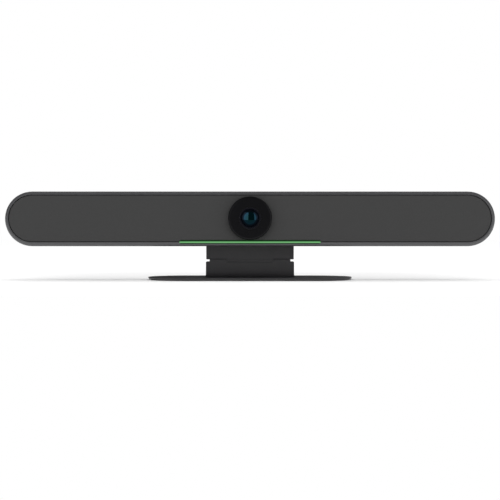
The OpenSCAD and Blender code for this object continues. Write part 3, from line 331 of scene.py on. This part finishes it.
def cloth_columns(half, reach, middle_z, neck_r):
    """Where each column of the cloth's front ends and starts, as x and z pairs measured from the cloth's middle.

    The outline is a stadium: middle line plus reach times the outward direction. Over the light it has a notch,
    where the lower edge is the light's own stadium, middle + sqrt(r^2 - (|x| - half)^2). A column starts at the
    hole round the lens neck, or beyond it on the line at the lens's height. The four runs are the upper edge
    from left to right, the right end, the lower edge from right to left, and the left end. Returns the ends, the
    outward directions there, the starts, and which columns start at the hole.
    """
    neck_z = LENS_Z - middle_z
    light_r = LIGHT_H / 2 + LIGHT_GAP
    light_half = (LIGHT_W - LIGHT_H) / 2
    light_z = LIGHT_Z - middle_z
    notch_x = light_half + math.sqrt(light_r ** 2 - (light_z + reach) ** 2)
    notch_side = np.linspace(light_half, notch_x, 9)

    x = np.unique(np.concatenate([
        np.linspace(-half, half, 91), np.sin(np.linspace(-1, 1, 33) * math.pi / 2) * neck_r,
        notch_side, -notch_side, [notch_x + NOTCH_STEP, -notch_x - NOTCH_STEP]]))
    turn = np.linspace(0, math.pi, 49)[1:-1]
    beside = np.clip(np.abs(x) - light_half, 0, light_r)
    lower = np.where(np.abs(x) <= notch_x, light_z + np.sqrt(light_r ** 2 - beside ** 2), -reach)
    hole = np.sqrt(np.clip(neck_r ** 2 - x ** 2, 0, None))

    edge = run_round((x, reach), (half + reach * np.sin(turn), reach * np.cos(turn)),
                     (x[::-1], lower[::-1]), (-half - reach * np.sin(turn), -reach * np.cos(turn)))
    out = run_round((np.zeros_like(x), 1.0), (np.sin(turn), np.cos(turn)),
                    (np.zeros_like(x), -1.0), (-np.sin(turn), -np.cos(turn)))
    start = run_round((x, neck_z + hole), (np.full_like(turn, half), neck_z),
                      (x[::-1], neck_z - hole[::-1]), (np.full_like(turn, -half), neck_z))
    at_end = np.zeros(len(turn), bool)
    at_hole = np.concatenate([hole > 0, at_end, hole[::-1] > 0, at_end])
    return edge, out, start, at_hole


def stretched_cloth():
    """The acoustic cloth, drawn over its carrier and folded back round the edge, with its flat size and area.

    Each column runs over the front to the outline, bends through a quarter circle, goes back along the side, and
    returns inside by the cloth's thickness.
    """
    low, high = (np.array(corner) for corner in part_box("grille_cloth"))
    reach = (high[2] - low[2]) / 2
    half = (high[0] - low[0]) / 2 - reach
    middle_z = (high[2] + low[2]) / 2
    neck_r = neck_hole_radius()
    edge, out, start, at_hole = cloth_columns(half, reach, middle_z, neck_r)

    bend = np.linspace(math.pi / 2, 0, 6)
    inset = np.concatenate([CLOTH_ROUND * (1 - np.cos(bend)), [0.0, CLOTH_T, CLOTH_T]])
    depth = np.concatenate([low[1] + CLOTH_ROUND * (1 - np.sin(bend)), [high[1], high[1], low[1] + CLOTH_T]])
    share = np.array([1.0, 0.7, 0.35])       # the front's rows, as shares of the way from the edge to the start
    side = edge[:, None] - inset[:, None] * out[:, None]
    front = side[:, :1] + (start[:, None] - side[:, :1]) * share[:, None]
    inner = side[:, -1:] + (start[:, None] - side[:, -1:]) * share[::-1, None]
    face = np.concatenate([front, side, inner], axis=1)
    back = np.concatenate([np.full(len(share), low[1]), depth, np.full(len(share), low[1] + CLOTH_T)])
    columns, rows = face.shape[:2]
    points = np.stack([face[..., 0], np.broadcast_to(back, (columns, rows)), face[..., 1] + middle_z], axis=-1)

    column = np.flatnonzero(at_hole | np.roll(at_hole, -1))
    beside = (column + 1) % columns
    hole_wall = np.stack([column * rows, column * rows + rows - 1, beside * rows + rows - 1, beside * rows], axis=-1)
    faces = np.concatenate([strip_faces(columns, rows), hole_wall])
    cloth = surface("stretched_grille_cloth", points.reshape(-1, 3), faces, KNIT)
    flat = [2 * (half + reach + high[1] - low[1]), 2 * (reach + high[1] - low[1])]
    area = math.pi * (flat[1] / 2) ** 2 + 2 * half * flat[1] - math.pi * neck_r ** 2
    return cloth, flat, area


cloth, cut_size, cut_area = stretched_cloth()
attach(cloth, "bar")
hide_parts("grille_cloth")


def studio_floor():
    """A pale matt floor with painted shade: its colour darkens near the object. Its near edge is what the lens
    mirrors as a table's edge.
    """
    half_x, near_y, far_y = 12.0, -0.36, 14.0
    grey_until, white_from = 0.3, 1.2
    corners = [(-half_x, near_y, 0.0), (half_x, near_y, 0.0), (half_x, far_y, 0.0), (-half_x, far_y, 0.0)]
    mesh = bpy.data.meshes.new("studio_floor")
    mesh.from_pydata(corners, [], [(0, 1, 2, 3)])
    sheet = bpy.data.objects.new("studio_floor", mesh)
    bpy.context.scene.collection.objects.link(sheet)
    paint, tree, shader, here = finish("pale_studio_floor", Roughness=1.0, Specular_IOR_Level=0.0)
    # Painted shade: the colour runs from white far off to a pale grey near the object
    away = ramp(tree, distance(tree, here, (0, 0, 0), (1, 1, 0)), From_Min=grey_until, From_Max=white_from)
    join(tree, shader, Base_Color=blend(tree, away, "f5f5f5", "fefefe"))
    mesh.materials.append(paint)
    return sheet


floor = studio_floor()


def lamp(name, at, towards, size, radiance, diffuse=True, gloss=True, only=()):
    """A soft rectangular lamp of an even radiance, which can light surfaces, show in their reflections or both.

    Where objects are given it reaches those alone, as a flag set close to them does in a studio.
    """
    data = bpy.data.lights.new(name, "AREA")
    data.shape = "RECTANGLE"
    data.size, data.size_y = size
    data.energy = radiance * math.pi * size[0] * size[1]
    piece = bpy.data.objects.new(name, data)
    piece.location = at
    piece.rotation_euler = (Vector(towards) - Vector(at)).to_track_quat("-Z", "Y").to_euler()
    piece.visible_camera = False
    piece.visible_diffuse = diffuse
    piece.visible_glossy = gloss
    bpy.context.scene.collection.objects.link(piece)
    if only:
        group = bpy.data.collections.new(name + "_receivers")
        for receiver in only:
            group.objects.link(receiver)
        piece.light_linking.receiver_collection = group


# The window boxes' distance from the lens, and their upper and lower edges, in metres
BOX_DISTANCE = 0.9
BOX_TOP = 0.85
BOX_BOTTOM = -0.3


def window_box(name, from_degrees, to_degrees, radiance, nodes):
    """A tall softbox that the named nodes mirror as a window.

    It spans two bearings from the lens, which count from straight ahead and are below zero on the left.
    """
    middle = math.radians((from_degrees + to_degrees) / 2)
    width = 2 * BOX_DISTANCE * math.tan(math.radians(abs(to_degrees - from_degrees)) / 2)
    height = (BOX_TOP + BOX_BOTTOM) / 2
    at = (BOX_DISTANCE * math.sin(middle), -BOX_DISTANCE * math.cos(middle), height)
    lamp(name, at, (0, 0, height), (width, BOX_TOP - BOX_BOTTOM), radiance, diffuse=False,
         only=[frame["nodes"][node] for node in nodes])


# Two windows in the glass and its ring, and fainter ones in the shroud
window_box("left_window_box", -12, -56, 6.0, ("front_lens", "lens_retaining_ring"))
window_box("right_window_box", 30, 60, 4.4, ("front_lens", "lens_retaining_ring"))
window_box("left_shroud_box", -12, -56, 0.5, ("lens_shroud",))
window_box("right_shroud_box", 30, 60, 0.9, ("lens_shroud",))
# Light from the left and from in front, two cards on the right that show as sheen only, and light from above
lamp("left_key", (-2.2, -2.4, 1.1), (0, 0, 0.07), (1.2, 1.2), 0.6)
lamp("front_fill", (0, -2.6, 0.75), (0, 0, 0.06), (3.0, 1.4), 2.1, gloss=False)
lamp("right_back_card", (1.6, 2.4, 0.6), (0.1, 0, 0), (2.6, 1.2), 0.8, diffuse=False)
lamp("right_card", (1.5, -1.0, 0.5), (0.1, 0, 0.05), (0.8, 0.8), 1.2, diffuse=False)
lamp("overhead_softbox", (0, 0.4, 2.0), (0, 0, 0.05), (2.4, 1.2), 0.3)
# The floor alone, brought up to the photo's white
lamp("floor_wash", (0, -2.4, 0.7), (0, 0, 0), (3.0, 1.0), 4.0, gloss=False, only=(floor,))


def white_room():
    """White all round, but dim in reflections, so that the dark finishes stay dark."""
    world = bpy.data.worlds.new("white_room")
    world.use_nodes = True
    tree = world.node_tree
    glossy = add(tree, "ShaderNodeLightPath").outputs["Is Glossy Ray"]
    join(tree, tree.nodes["Background"], Color=(1, 1, 1, 1), Strength=ramp(tree, glossy, To_Min=1.0, To_Max=0.12))
    bpy.context.scene.world = world
    bpy.context.scene.view_settings.view_transform = "Standard"


def photo_camera():
    """The photo's viewpoint: level, 1.38 m in front of the middle and 54.5 mm above the table."""
    view = bpy.data.cameras.new("photo_camera")
    view.lens = 79.7
    view.sensor_width = 36
    view.shift_y = -0.028
    view.clip_end = 60
    eye = bpy.data.objects.new("photo_camera", view)
    eye.location = (0, -1.380, 0.0545)
    eye.rotation_euler = (math.radians(90), 0, 0)
    bpy.context.scene.collection.objects.link(eye)
    bpy.context.scene.camera = eye


white_room()
photo_camera()
